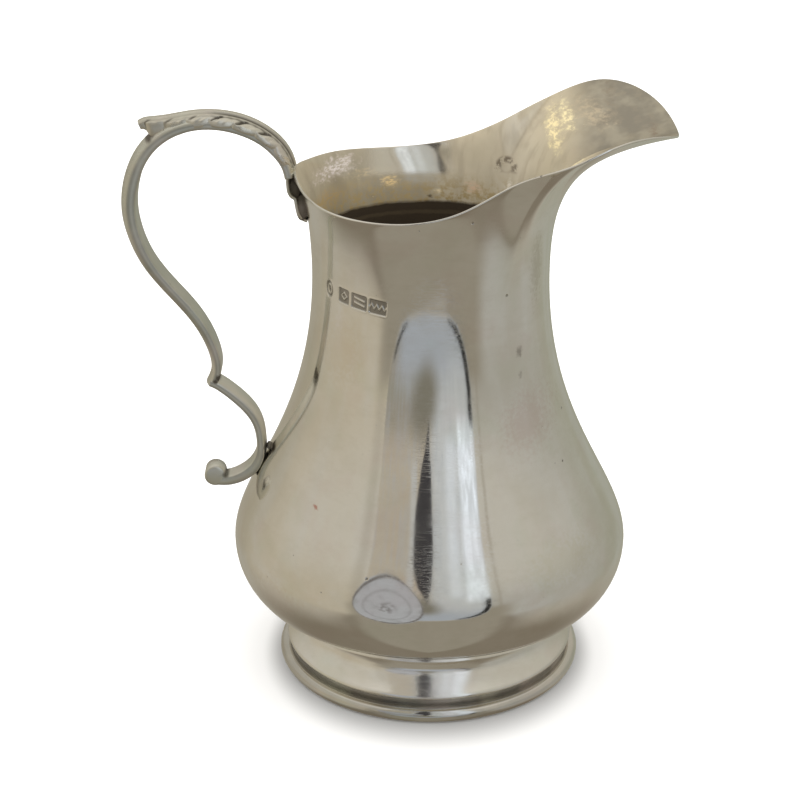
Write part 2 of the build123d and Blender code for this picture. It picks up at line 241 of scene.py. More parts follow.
def mark_figure(kind, x, y, half_x, half_y):
    """How far the raised figure of a mark stands up from its floor, 0..1."""
    if kind == 0:
        ring = np.abs(np.hypot(x / half_x, y / half_y) - 0.52) * half_x
        return 1 - between(ring, 0.08, 0.2)
    if kind == 1:
        diamond = np.abs(np.abs(x) + np.abs(y) - 0.62)
        return 1 - between(diamond, 0.1, 0.24)
    if kind == 2:
        bars = np.minimum(np.abs(y - 0.42 + 0.15 * x), np.abs(y + 0.42 + 0.15 * x))
        ends = 1 - between(np.abs(x), half_x - 0.5, half_x - 0.3)
        return (1 - between(bars, 0.1, 0.24)) * ends
    wave = np.abs(y - 0.4 * (2 * np.abs(((x / 0.95 + 0.25) % 1) - 0.5) * 2 - 1))
    return 1 - between(wave, 0.12, 0.3)


def mark_depths(places):
    """Depth struck into the wall, and how dark the recess is, at places on the near side."""
    turn = azimuth_of(places)
    depth, dark = np.zeros(turn.shape), np.zeros(turn.shape)
    for kind, (azimuth, height) in enumerate(zip(MARK_AZIMUTHS, MARK_HEIGHTS)):
        across = np.radians(turn - azimuth) * NECK_R
        up = places[..., 2] - height
        x = across * cos(MARK_TILT) + up * sin(MARK_TILT)
        y = -across * sin(MARK_TILT) + up * cos(MARK_TILT)
        half_x, half_y = MARK_HALF_WIDE[kind], MARK_HALF_HIGH[kind]
        if kind == 0:
            gap = (np.hypot(x / half_x, y / half_y) - 1) * half_x
        else:
            gap = box_distance(x, y, half_x, half_y, 0.3)
        inside = 1 - between(gap, -0.12, 0.06)
        figure = mark_figure(kind, x, y, half_x, half_y)
        burr = np.exp(-((gap - 0.16) / 0.14) ** 2) * (np.abs(gap) < 1)
        depth += MARK_DEPTH * inside * (1 - 0.75 * figure) - BURR_HIGH * burr
        dark += MARK_DARK * inside * (1 - 0.9 * figure)
    return depth, dark


# ---- mesh of the body ----
ROUND_COLUMNS = 288
MARK_GRID = 0.1
MARK_MARGIN = 2.2
MARK_ROWS = (1.8, 2.4)
RIM_ARC = 6


def body_columns():
    """Places round the mouth for the columns of the grid, closer together at the marks."""
    even = np.arange(ROUND_COLUMNS) / ROUND_COLUMNS
    turn = azimuth_of(mouth_edge(even)[0])
    near = np.linspace(0.5, 0.999, 4000)
    near_turn = azimuth_of(mouth_edge(near)[0])
    reach = degrees(MARK_MARGIN / NECK_R)
    low, high = MARK_AZIMUTHS[0] - reach, MARK_AZIMUTHS[-1] + reach
    count = int(radians(high - low) * NECK_R / MARK_GRID)
    order = np.argsort(near_turn)
    fine = np.interp(np.linspace(low, high, count), near_turn[order], near[order])
    keep = even[(turn < low) | (turn > high)]
    return np.sort(np.concatenate([keep, fine]))


def body_rows():
    """Places up the wall for the rows of the grid, closer together at the marks."""
    even = np.concatenate([np.linspace(0, 1, 44)[:-1], np.linspace(1, 2, 64)[:-1], np.linspace(2, 3, 64)])
    rows = np.linspace(*MARK_ROWS, 600)
    heights = wall_points(np.full(len(rows), 0.75), rows)[:, 2]
    low, high = MARK_HEIGHTS[-1] - 1.8, MARK_HEIGHTS[0] + 1.9
    fine = np.interp(np.arange(low, high, MARK_GRID), heights, rows)
    keep = even[(even < fine[0]) | (even > fine[-1])]
    return np.sort(np.concatenate([keep, fine]))


def body_piece():
    """The raised body as one closed skin: outside, rounded mouth edge, inside, bottom."""
    us, ts = body_columns(), body_rows()
    place, inward, up = wall_grid(us, ts)
    rise = smooth_step((ts - EDGE_STAGE) / (3 - EDGE_STAGE))[None, :, None]
    gauge = WALL * (1 - rise) + EDGE_GAUGE * rise
    depth, dark = mark_depths(place)
    near_side = place[..., 1] < 0
    depth, dark = depth * near_side, dark * near_side
    outside = place - inward * 0.5 * gauge * rise + inward * depth[..., None]
    inside = place + inward * (gauge - 0.5 * gauge * rise)
    rim = []
    for k in range(1, RIM_ARC):
        a = pi * k / RIM_ARC
        bulge = 0.7 * sin(a) * up[:, -1] - cos(a) * inward[:, -1]
        rim.append(place[:, -1] + 0.5 * EDGE_GAUGE * bulge)
    column = np.concatenate([outside, np.stack(rim, 1), inside[:, ::-1]], axis=1)
    rows, columns = column.shape[:2]
    places = column.reshape(-1, 3)
    low_pole, high_pole = len(places), len(places) + 1
    places = np.concatenate([places, [[0, 0, BOTTOM_Z], [0, 0, BOTTOM_Z + WALL]]])
    quads = grid_quads(rows, columns, True, False)
    for r in range(rows):
        n = (r + 1) % rows
        quads.append([low_pole, r * columns, n * columns])
        quads.append([high_pole, n * columns + columns - 1, r * columns + columns - 1])
    piece = new_piece("raised_body", places, quads, "body")
    tarnish = np.zeros(column.shape[:2])
    tarnish[:, : len(ts)] = dark
    add_attribute(piece, "recess", np.append(tarnish.ravel(), [0, 0]))
    in_side = np.zeros(column.shape[:2])
    in_side[:, len(ts) + RIM_ARC - 1:] = 1
    add_attribute(piece, "inside", np.append(in_side.ravel(), [0, 1]))
    return piece


# ---- turned pieces ----
def round_corners(corners, radii, steps=5):
    """Outline through corners (x, z) with each corner rounded by a small arc."""
    outline = []
    count = len(corners)
    for i in range(count):
        p = np.array(corners[i], float)
        a = np.array(corners[i - 1], float) - p
        b = np.array(corners[(i + 1) % count], float) - p
        reach = min(radii[i], 0.45 * np.linalg.norm(a), 0.45 * np.linalg.norm(b))
        start, end = p + a / np.linalg.norm(a) * reach, p + b / np.linalg.norm(b) * reach
        for w in np.linspace(0, 1, steps):
            outline.append((1 - w) ** 2 * start + 2 * w * (1 - w) * p + w * w * end)
    return np.array(outline)


TURN_COLUMNS = 256


def turned_piece(name, outline, node):
    """A closed outline (radius, height) turned about the axis."""
    a = 2 * pi * np.arange(TURN_COLUMNS) / TURN_COLUMNS
    radius, height = outline[:, 0], outline[:, 1]
    places = np.stack([
        np.cos(a)[:, None] * radius[None], np.sin(a)[:, None] * radius[None],
        np.repeat(height[None], TURN_COLUMNS, 0),
    ], -1)
    quads = grid_quads(TURN_COLUMNS, len(outline), True, True)
    return new_piece(name, places.reshape(-1, 3), quads, node)


WIRE_INNER_R = 23.6
GROOVE_R, ROLL_R, ROLL_Z, WAIST_R, WAIST_Z = 24.9, 25.25, 4.4, 22.75, 8.4
COLLET_TOP_R, COLLET_TOP_Z, COLLET_GAUGE = 23.45, 10.7, 0.8
SEAM_REACH, SEAM_HALF_HIGH = 0.42, 0.3


def foot_pieces():
    """Base wire, waisted collet and the solder seam under the body."""
    out_r, high = WIRE_HIGH[0], WIRE_HIGH[2]
    arc = [(out_r - 0.5 * high * (1 - cos(a)), 0.5 * high * (1 + sin(a)))
           for a in np.linspace(-0.5 * pi, 0.5 * pi, 20)]
    corners = [(WIRE_INNER_R, 0.0)] + arc + [(WIRE_INNER_R, high)]
    outline = round_corners(corners, [0.3] + [0.1] * len(arc) + [0.3], 3)
    wire = turned_piece("foot_base_wire", outline, "foot_rim_wire")

    groove = [(GROOVE_R, high - 0.1), (GROOVE_R - 0.05, ROLL_Z - 0.75), (GROOVE_R + 0.05, ROLL_Z - 0.5)]
    roll = [(ROLL_R, ROLL_Z - 0.35), (ROLL_R + 0.08, ROLL_Z)]
    waist = smooth_curve([
        (ROLL_R - 0.15, ROLL_Z + 0.35), (24.1, 5.9), (23.15, 7.3), (WAIST_R, WAIST_Z), (22.85, 9.6),
        (COLLET_TOP_R, COLLET_TOP_Z + 0.1),
    ])(np.linspace(0, 1, 30))[0]
    outer = groove + roll + waist.tolist()
    inner = [(x - COLLET_GAUGE, z) for x, z in outer[::-1]]
    outline = np.array(outer + inner)
    collet = turned_piece("foot_waisted_collet", outline, "foot_collet")
    # Painted shade in the groove below the collet's rolled edge.
    groove_shade = [0.75 if z < ROLL_Z - 0.55 and x > WAIST_R + 1 else 0.0 for x, z in outline]
    add_attribute(collet, "recess", np.tile(groove_shade, TURN_COLUMNS))

    seam = [(COLLET_TOP_R + SEAM_REACH * cos(a), COLLET_TOP_Z + 0.02 + SEAM_HALF_HIGH * sin(a))
            for a in np.linspace(0, 2 * pi, 16, endpoint=False)]
    solder = turned_piece("foot_seam_fillet", np.array(seam), "foot_seam_solder")
    return [wire, collet, solder]


# ---- handle ----
UPPER_LINE = [
    (-23.1, 89.4), (-23.55, 91.3), (-24.6, 93.2), (-27.3, 95.9), (-31.0, 97.8), (-35.0, 98.7),
    (-39.4, 98.5), (-43.6, 96.9), (-46.9, 94.0), (-49.1, 89.8), (-50.1, 84.6), (-49.5, 79.6),
    (-47.3, 74.2), (-43.7, 69.3), (-40.3, 65.1), (-37.7, 60.5), (-36.5, 55.9), (-36.9, 53.6),
    (-37.6, 52.1),
]
UPPER_THICK = (1.9, 2.0, 2.6, 2.1, 1.8)
UPPER_WIDE = (5.4, 5.3, 5.0, 4.8, 4.5)
LOWER_LINE = [
    (-37.6, 53.0), (-36.3, 52.4), (-33.6, 50.3), (-30.9, 47.4), (-29.55, 44.6), (-29.15, 41.8),
    (-29.3, 39.2), (-30.45, 36.7), (-32.5, 34.95), (-35.0, 34.0), (-37.2, 33.95),
]
LOWER_THICK = (1.7, 1.8, 1.6, 2.0, 1.8)
LOWER_WIDE = (4.5, 4.6, 4.4, 3.9, 3.4)
UPPER_FLANK = (0.45, 0.45, 0.45)
LOWER_FLANK = (0.5, 0.55, 0.6, 0.85, 0.85)
CURL_X, CURL_Z, CURL_R, CURL_WIDE = -37.4, 34.95, 1.85, 3.4
BAR_CORNER = 0.28


def spread(values, share):
    """Values at shares of the way along a few evenly placed values."""
    share = np.asarray(share, float)
    place = share * (len(values) - 1)
    i = np.clip(place.astype(int), 0, len(values) - 2)
    w = smooth_step(place - i)
    values = np.array(values, float)
    return values[i] * (1 - w) + values[i + 1] * w


def section_outline(wide, thick, corner, flank=0.45, arc=16):
    """D-shaped outline (across, out): flat below, small corners, crowned above."""
    shoulder = (flank - 0.5) * thick
    crown = [(0.5 * wide * cos(a), shoulder + (0.5 * thick - shoulder) * sin(a) ** 0.9)
             for a in np.linspace(0, pi, arc)]
    left, right, flat = -0.5 * wide, 0.5 * wide, -0.5 * thick
    middle = 0.5 * (shoulder + flat + corner)
    corners = [(left, middle)]
    for (cx, start) in ((left + corner, pi), (right - corner, 1.5 * pi)):
        for k in range(4):
            a = start + 0.5 * pi * k / 3
            corners.append((cx + corner * cos(a), flat + corner + corner * sin(a)))
    corners.append((right, middle))
    return np.array(crown + corners)


def tube_piece(tubes, name, node):
    """One mesh of closed tubes; each is an array of rings, rows by columns by 3."""
    places, quads = [], []
    for rings in tubes:
        rows, columns = rings.shape[:2]
        first = len(places)
        places.extend(rings.reshape(-1, 3).tolist())
        quads += [[first + i for i in quad] for quad in grid_quads(rows, columns, False, True)]
        for r in (0, rows - 1):
            places.append(rings[r].mean(0).tolist())
            for c in range(columns):
                ring = first + r * columns
                quads.append([len(places) - 1, ring + c, ring + (c + 1) % columns])
    return new_piece(name, places, quads, node)


def sweep(middle, out, outlines):
    """Rings of outlines (across, out) set along a line in the XZ plane."""
    across = np.array([0.0, 1.0, 0.0])
    return middle[:, None] + outlines[..., :1] * across + outlines[..., 1:] * out[:, None]


def plane_line(line, share, side=1):
    """Places at shares along a line in the XZ plane, and the directions out of its side."""
    place, along = smooth_curve([(x, 0, z) for x, z in line])(share)
    return place, side * np.stack([along[:, 2], 0 * share, -along[:, 0]], -1)


def round_ends(share, blunt):
    """Scale of a section near both ends, so that the ends are softly rounded."""
    edge = np.minimum(share, 1 - share) / blunt
    return np.sqrt(np.clip(1 - (1 - np.clip(edge, 0, 1)) ** 2, 0.02, 1))


def bar_sweep(line, side, thick, wide, flank, steps, blunt):
    """Rings of a tapered D-shaped bar."""
    share = np.concatenate([np.linspace(0, blunt, 6)[:-1], np.linspace(blunt, 1 - blunt, steps),
                            np.linspace(1 - blunt, 1, 6)[1:]])
    middle, out = plane_line(line, share, side)
    wides, thicks, flanks = spread(wide, share), spread(thick, share), spread(flank, share)
    scale = 0.75 + 0.25 * round_ends(share, blunt)
    outlines = np.stack([section_outline(w * s, t * s, BAR_CORNER, f)
                         for w, t, s, f in zip(wides, thicks, scale, flanks)])
    return sweep(middle, out, outlines)


def curl_rings():
    """Rings of the curl that ends the lower scroll: a short disc with soft edges."""
    a = np.linspace(0, 2 * pi, 48, endpoint=False)
    half = 0.5 * CURL_WIDE
    outline = [(0.3, -half - 0.03), (CURL_R - 0.65, -half - 0.03), (CURL_R - 0.45, -half),
               (CURL_R - 0.15, -half + 0.04), (CURL_R, -half + 0.2), (CURL_R, half - 0.2),
               (CURL_R - 0.2, half), (0.3, half)]
    return np.array([[(CURL_X + r * cos(t), y, CURL_Z + r * sin(t)) for t in a]
                     for r, y in outline])


# Painted shade in these corners of the handle, where its parts meet: places (x, z) and their reach.
SHADED_CORNERS = [
    (-36.1, 53.7, 0.7), (-36.7, 53.1, 0.5), (-35.6, 54.1, 0.5), (-28.0, 40.6, 0.9), (-28.1, 39.8, 0.6),
    (-35.55, 35.15, 0.7), (-46.3, 96.2, 0.8), (-45.7, 96.9, 0.7),
]

# Painted shade along the long edges of a bar, per point of section_outline().
EDGE_SHADE = [0.42, 0.1] + [0.0] * 12 + [0.1, 0.42, 0.0, 0.4] + [0.1] * 6 + [0.4, 0.0]


def add_painted_shade(piece, rings):
    """Paints shade on a bar of that many rings, along its edges and near the handle's corners."""
    places = np.array([v.co for v in piece.data.vertices]) / MM
    dark = np.zeros(len(places))
    dark[: rings * len(EDGE_SHADE)] = EDGE_SHADE * rings
    for x, z, reach in SHADED_CORNERS:
        gap = np.hypot(places[:, 0] - x, places[:, 2] - z) / reach
        dark = np.maximum(dark, 1 - between(gap, 0.5, 1.15))
    add_attribute(piece, "recess", dark)


def scroll_pieces():
    arch = bar_sweep(UPPER_LINE, 1, UPPER_THICK, UPPER_WIDE, UPPER_FLANK, 240, 0.004)
    upper = tube_piece([arch], "upper_scroll_bar", "handle_upper_scroll")
    bar = bar_sweep(LOWER_LINE, -1, LOWER_THICK, LOWER_WIDE, LOWER_FLANK, 200, 0.006)
    lower = tube_piece([bar, curl_rings()], "lower_scroll_bar", "handle_lower_scroll")
    add_painted_shade(upper, len(arch))
    add_painted_shade(lower, len(bar))
    return [upper, lower]


# Leaf cap: the crest is the top of its midrib.
LEAF_CREST = [
    (-22.35, 91.2), (-22.9, 93.0), (-24.3, 95.3), (-26.6, 97.4), (-29.2, 98.9), (-32.0, 99.85),
    (-35.0, 100.3), (-38.0, 100.3), (-40.6, 99.95), (-43.0, 99.5), (-45.2, 99.2), (-46.9, 99.0),
    (-47.95, 98.6),
]
LEAF_HALF_WIDE = (2.85, 2.9, 2.95, 2.95, 2.9, 2.7, 2.3, 1.9, 1.1)
LEAF_THICK = (1.0, 1.1, 1.1, 1.1, 1.1, 1.3, 2.3, 2.5, 1.1)
LEAF_DROP = (1.15, 1.2, 1.25, 1.3, 1.3, 1.2, 0.9, 0.5, 0.3)
LOBE_PITCH, VEIN_LEAN = 4.4, 1.7
RIB_HALF, RIB_HIGH = 0.8, 0.15
SLIT_DEEP = 0.5
LEAF_PLAIN = (28.5, 31.5)  # the carving fades out here, before the tip


def leaf_relief(along, side, half_wide):
    """Carving of the leaf's top in mm: midrib, lobes, veins, and the drilled slits; also how dark each place
    is, painted shade in the veins, between lobes and in the slits.
    """
    reach = np.abs(side)
    rib = RIB_HIGH * (1 - between(reach, RIB_HALF - 0.25, RIB_HALF + 0.1))
    near = 1 - 0.7 * between(along, 14, 20)
    line = near * np.exp(-((reach - RIB_HALF - 0.2) / 0.3) ** 2)
    second = 0.8 * near * np.exp(-((reach - RIB_HALF - 0.95) / 0.17) ** 2)
    phase = (along - VEIN_LEAN * reach) / LOBE_PITCH
    lobe = np.abs(np.sin(pi * phase))
    blade = between(reach, RIB_HALF + 0.4, RIB_HALF + 0.9)
    swell = 0.08 * (lobe ** 0.7 - 0.6) * blade
    fine = 0.045 * np.cos(2 * pi * 3 * phase) * blade
    to_vein = ((phase + 0.5) % 1.0 - 0.5) * LOBE_PITCH * 0.5
    slit_at = 0.7 * half_wide
    slit = SLIT_DEEP * np.exp(-(to_vein / 0.21) ** 4 - ((reach - slit_at) / 0.42) ** 4)
    slit *= between(along, 4, 6) * (1 - 0.8 * between(along, 17, 19))
    end = between(along, *LEAF_PLAIN)
    carved = rib - 0.15 * line - 0.08 * second + swell + fine - slit
    # Painted shade in the vein grooves, in the slits and between the lobes.
    dark = line + second + slit / 0.15 + 0.1 * (1 - lobe) ** 3 * blade
    return carved * (1 - end), np.minimum(dark, 1) * (1 - end)


def leaf_piece():
    """Leaf over the top of the bar with its tip free, as one closed skin."""
    rows, half = 420, 26
    share = np.linspace(0, 1, rows)
    crest, out = plane_line(LEAF_CREST, share)
    along = np.concatenate([[0], np.cumsum(np.linalg.norm(np.diff(crest, axis=0), axis=1))])
    w = np.linspace(-1, 1, 2 * half + 1)
    half_wide = spread(LEAF_HALF_WIDE, share)[:, None]
    edge_phase = (along[:, None] - VEIN_LEAN * half_wide) / LOBE_PITCH
    notch = 0.35 * (1 - np.abs(np.sin(pi * edge_phase)) ** 0.6)
    notch *= 1 - between(along[:, None], *LEAF_PLAIN)
    side = w[None, :] * (half_wide - notch)
    drop = spread(LEAF_DROP, share)[:, None] * np.abs(side / half_wide) ** 2.2
    relief, dark = leaf_relief(np.repeat(along[:, None], len(w), 1), side, half_wide)
    thick = spread(LEAF_THICK, share)[:, None]
    round_edge = 0.3 * np.clip((np.abs(w)[None, :] - 0.9) / 0.1, 0, 1) ** 2
    top = -drop + relief - round_edge
    under = -drop * 0.9 - thick + round_edge
    under = np.minimum(under, top - 0.25)
    y = np.concatenate([side, side[:, ::-1]], 1)
    n = np.concatenate([top, under[:, ::-1]], 1)
    rings = sweep(crest, out, np.stack([y, n], -1))
    piece = tube_piece([rings], "leaf_cap", "handle_leaf_cap")
    recess = np.concatenate([dark, 0 * dark], 1).ravel()
    add_attribute(piece, "recess", np.append(recess, [0, 0]))
    return piece


DROP_LINE = [
    (-23.0, 90.3), (-23.5, 89.4), (-23.55, 88.3), (-23.4, 87.0), (-22.9, 86.1), (-22.45, 85.75),
    (-22.3, 85.2), (-22.15, 84.2), (-21.85, 83.0), (-21.2, 82.1), (-20.5, 81.75),
]
DROP_WEBS = [(-22.65, 87.6, 1.05, 1.9), (-21.4, 84.1, 1.0, 2.2)]
DROP_WIDE, STRAP_GAUGE, WEB_HALF = (4.6, 4.3, 3.6, 3.6, 2.6), 0.7, 1.5


def drop_piece():
    """Double-lobed drop: a strap bent into two lobes against the neck, with sunk sides painted dark as
    shade.
    """
    share = np.linspace(0, 1, 140)
    middle, out = plane_line(DROP_LINE, share, -1)
    outlines = [section_outline(w, STRAP_GAUGE, 0.2) for w in spread(DROP_WIDE, share)]
    strap = sweep(middle, out, np.stack(outlines))
    a = np.linspace(0, 2 * pi, 40, endpoint=False)
    webs = []
    for x, z, half_x, half_z in DROP_WEBS:
        webs.append(np.array([[(x + half_x * cos(t), y, z + half_z * sin(t)) for t in a]
                              for y in (-WEB_HALF, -0.5 * WEB_HALF, 0.5 * WEB_HALF, WEB_HALF)]))
    piece = tube_piece([strap] + webs, "lobed_drop", "handle_drop")
    # The sunk sides between the lobes are painted shade.
    plain = strap.shape[0] * strap.shape[1] + 2
    add_attribute(piece, "recess", [0] * plain + [1] * (len(piece.data.vertices) - plain))
    return piece


NECK_BEADS = [((-21.95, side * 2.1, 88.3), (-22.45, side * 2.3, 89.9), 0.3) for side in (-1, 1)]
BELLY_BEADS = [((-27.95, -1.4, 40.2), (-27.95, 1.4, 40.2), 0.42),
               ((-30.6, -1.2, 35.2), (-30.6, 1.2, 35.2), 0.36)]
# The solder beads are painted dark: shade in the handle's joints.
SOLDER_SHADE = 0.85


def bead(start, end, radius, columns=14, rows=18):
    """Rings of a short bead of solder between two places, fullest in the middle."""
    start, end = np.array(start, float), np.array(end, float)
    way = (end - start) / np.linalg.norm(end - start)
    one = np.cross(way, [0.3, 0.1, 1.0] if abs(way[2]) < 0.9 else [1.0, 0, 0])
    one /= np.linalg.norm(one)
    two = np.cross(way, one)
    share = np.linspace(0, 1, rows)[:, None, None]
    swell = radius * np.sqrt(np.clip(1 - (2 * share - 1) ** 2, 0.01, 1))
    a = 2 * pi * np.arange(columns)[None, :, None] / columns
    return start + share * (end - start) + swell * (np.cos(a) * one + np.sin(a) * two)


def solder_pieces():
    pieces = [
        tube_piece([bead(*b) for b in NECK_BEADS], "neck_joint_solder", "handle_neck_solder"),
        tube_piece([bead(*b) for b in BELLY_BEADS], "belly_joint_solder", "handle_belly_solder"),
    ]
    for piece in pieces:
        add_attribute(piece, "recess", [SOLDER_SHADE] * len(piece.data.vertices))
    return pieces


# ---- shader helpers ----
def tone(red, green, blue):
    """Linear colour from everyday 0..255 values."""
    out = []
    for value in (red, green, blue):
        v = value / 255
        out.append(v / 12.92 if v <= 0.04045 else ((v + 0.055) / 1.055) ** 2.4)
    return (*out, 1.0)


class Net:
    """Short calls that add linked nodes; an input may be a number, a colour or a socket."""

    def __init__(self, tree):
        self.tree = tree
        tree.nodes.clear()

    def put(self, value, socket):
        if isinstance(value, bpy.types.NodeSocket):
            self.tree.links.new(value, socket)
        else:
            socket.default_value = value

    def add(self, kind, inputs, output=0, **settings):
        node = self.tree.nodes.new("ShaderNode" + kind)
        for key, value in settings.items():
            setattr(node, key, value)
        for key, value in inputs.items():
            self.put(value, node.inputs[key])
        return node.outputs[output] if node.outputs else None

    def math(self, operation, *values):
        return self.add("Math", dict(enumerate(values)), operation=operation)

    def plus(self, *values):
        total = values[0]
        for value in values[1:]:
            total = self.math("ADD", total, value)
        return total

    def times(self, *values):
        total = values[0]
        for value in values[1:]:
            total = self.math("MULTIPLY", total, value)
        return total

    def minus(self, first, second):
        return self.math("SUBTRACT", first, second)

    def step(self, x, low, high, out_low=0.0, out_high=1.0):
        """out_low below low, out_high above high, smooth between."""
        inputs = {"Value": x, "From Min": low, "From Max": high, "To Min": out_low, "To Max": out_high}
        return self.add("MapRange", inputs, interpolation_type="SMOOTHSTEP")

    def fall(self, x, low, high):
        """1 below low, 0 above high, smooth between."""
        return self.step(x, low, high, 1.0, 0.0)

    def band(self, x, centre, half, soft):
        """1 within half of centre, fading to 0 over soft."""
        gap = self.math("ABSOLUTE", self.minus(x, centre))
        return self.fall(self.minus(gap, half), 0.0, soft)

    def oval(self, x, z, centre, half):
        """Distance of (x, z) from centre, 1 on the edge of an oval with those half sizes."""
        squares = [self.math("POWER", self.times(self.plus(v, -c), 1 / h), 2.0)
                   for v, c, h in zip((x, z), centre, half)]
        return self.math("SQRT", self.plus(*squares))

    def mix(self, share, first, second):
        return self.add("Mix", {0: share, 6: first, 7: second}, 2, data_type="RGBA")

    def layers(self, base, *pairs):
        """Colour with (share, colour) layers laid over it in turn."""
        for share, colour in pairs:
            base = self.mix(share, base, colour)
        return base

    def noise(self, place, scale, detail=3.0, rough=0.5):
        inputs = {"Vector": place, "Scale": scale, "Detail": detail, "Roughness": rough}
        return self.add("TexNoise", inputs)

    def wander(self, noise, size):
        """Noise about 0 instead of 0.5, times size, to make an edge ragged."""
        return self.times(self.plus(noise, -0.5), size)

    def stretched(self, place, scale, turn=(0.0, 0.0, 0.0)):
        """The place turned and scaled unevenly, for streaks."""
        return self.add("Mapping", {"Vector": place, "Rotation": turn, "Scale": scale})

    def attribute(self, name):
        return self.add("Attribute", {}, 2, attribute_name=name)


def new_material(name):
    """A material and the helper for its empty node tree."""
    material = bpy.data.materials.new(name)
    material.use_nodes = True
    return material, Net(material.node_tree)


# ---- silver ----
# Heights in these materials are in millimetres too.
SILVER, DULL, GRIME_AND_SHADE = (0.93, 0.905, 0.86, 1), (0.8, 0.765, 0.69, 1), (0.1, 0.085, 0.065, 1)
CAST, WIRE = (0.66, 0.66, 0.59, 1), (0.64, 0.625, 0.59, 1)
LEAF, SOLDER = (0.7, 0.67, 0.58, 1), (0.72, 0.69, 0.62, 1)
BLUSH, GREEN = (0.86, 0.76, 0.72, 1), (0.8, 0.83, 0.72, 1)  # faint casts of tarnish
# Inside, the silver is tinted yellow, more so just above a ragged line, and below that line it is painted
# shade.
DARK_LINE_Z = 78.5
BUTTER, INSIDE_SHADE = (0.9, 0.83, 0.68, 1), (0.13, 0.1, 0.065, 1)
INSIDE_TURN, INSIDE_LEAN = radians(9.0), radians(-11.0)  # unevenness of the sheet inside
SCRATCHES = [  # stretch and turn of the noise behind each set of scratches
    ((0.1, 2.2, 2.2), (0.3, 0.9, 0.2)), ((0.14, 2.6, 2.6), (0.1, -0.6, 0.5)),
    ((0.08, 1.9, 1.9), (0.0, 1.35, 0.1)), ((0.2, 3.4, 3.4), (0.8, 0.2, 1.2)),
]


def hairlines(net, place, scale, turn, width):
    """Fine scratches: thin streaks where stretched noise crosses its middle."""
    streak = net.noise(net.stretched(place, scale, turn), 1.0, 1.0)
    line = net.band(streak, 0.5, 0.0, width)
    patch = net.noise(net.stretched(place, (0.09, 0.09, 0.09), turn), 1.0, 1.0)
    return net.times(line, net.step(patch, 0.48, 0.62))


def pits(net, place, pitch, size, share):
    """Small round pits at a share of random cells."""
    cells = {"Vector": place, "Scale": 1.0 / pitch, "Randomness": 1.0}
    node = net.add("TexVoronoi", cells, "Color").node
    pick = net.add("SeparateColor", {0: node.outputs["Color"]})
    keep = net.math("LESS_THAN", pick, share)
    return net.times(keep, net.fall(node.outputs["Distance"], 0.4 * size / pitch, size / pitch))


# Scuffs and stains on the front of the body: place (x, z), half sizes, colour, share.
OUTSIDE_MARKS = [
    ((17.0, 77.0), (1.1, 6.5), (0.62, 0.58, 0.5), 0.5),
    ((14.3, 63.7), (0.6, 1.1), (0.4, 0.37, 0.33), 0.7),
    ((14.6, 60.0), (0.35, 0.8), (0.4, 0.37, 0.33), 0.5),
    ((-19.2, 38.6), (0.5, 0.4), (0.62, 0.3, 0.24), 0.8),
    ((16.0, 52.0), (5.0, 5.5), (0.8, 0.68, 0.63), 0.55),
    ((-15.0, 64.0), (4.0, 6.0), (0.85, 0.78, 0.66), 0.5),
    ((9.0, 86.0), (5.0, 1.6), (0.9, 0.88, 0.82), 0.5),
    ((-26.0, 22.0), (5.0, 4.0), (0.82, 0.74, 0.66), 0.5),
    ((22.0, 30.0), (6.0, 4.0), (0.84, 0.8, 0.66), 0.5),
]


def soft_spot(net, x, z, centre, half, ragged, inner, outer):
    """1 inside an oval about a place (x, z), fading out; ragged shifts its edge."""
    return net.fall(net.plus(net.oval(x, z, centre, half), ragged), inner, outer)


def front_wear(net, place, inside):
    """Layers for the scuffs and stains on the front of the body."""
    parts = net.add("SeparateXYZ", {0: place}).node.outputs
    ragged = net.wander(net.noise(place, 1.4, 5.0, 0.7), 2.6)
    front = net.times(net.step(parts[1], -4.0, -8.0), net.minus(1.0, inside))
    layers = []
    for centre, half, colour, share in OUTSIDE_MARKS:
        spot = soft_spot(net, parts[0], parts[2], centre, half, ragged, 0.2, 1.2)
        layers.append((net.times(spot, front, share), (*colour, 1)))
    return layers


# Patches on the inside of the neck and lip, partly dried marks and partly painted highlights and
# reflections: place (x, z), half sizes, colour, share.
INSIDE_MARKS_AND_HIGHLIGHTS = [
    ((-16.0, 86.2), (3.4, 1.7), (226, 216, 214), 0.75),
    ((-17.5, 81.8), (3.6, 1.8), (168, 140, 88), 0.6),
    ((-6.9, 82.3), (1.5, 1.1), (246, 214, 150), 0.9),
    ((-9.5, 84.2), (4.6, 0.9), (222, 200, 150), 0.45),
    ((7.4, 81.4), (1.7, 1.2), (206, 176, 150), 0.8),
    ((1.3, 80.3), (0.9, 0.5), (230, 214, 178), 0.8),
    ((0.0, 79.4), (0.5, 0.4), (60, 48, 34), 0.9),
    ((13.6, 82.2), (0.7, 1.3), (232, 226, 214), 0.9),
    ((20.8, 93.4), (1.3, 2.6), (240, 222, 168), 0.75),
    ((23.0, 95.4), (1.3, 1.6), (236, 220, 170), 0.7),
    ((27.5, 96.8), (3.2, 1.6), (168, 152, 124), 0.6),
    ((30.0, 99.6), (1.2, 2.2), (96, 84, 68), 0.5),
    ((36.6, 95.6), (1.0, 1.6), (98, 82, 68), 0.7),
]
RING_MARK = (13.1, 85.7, 1.35)  # place (x, z) and radius of a dried ring


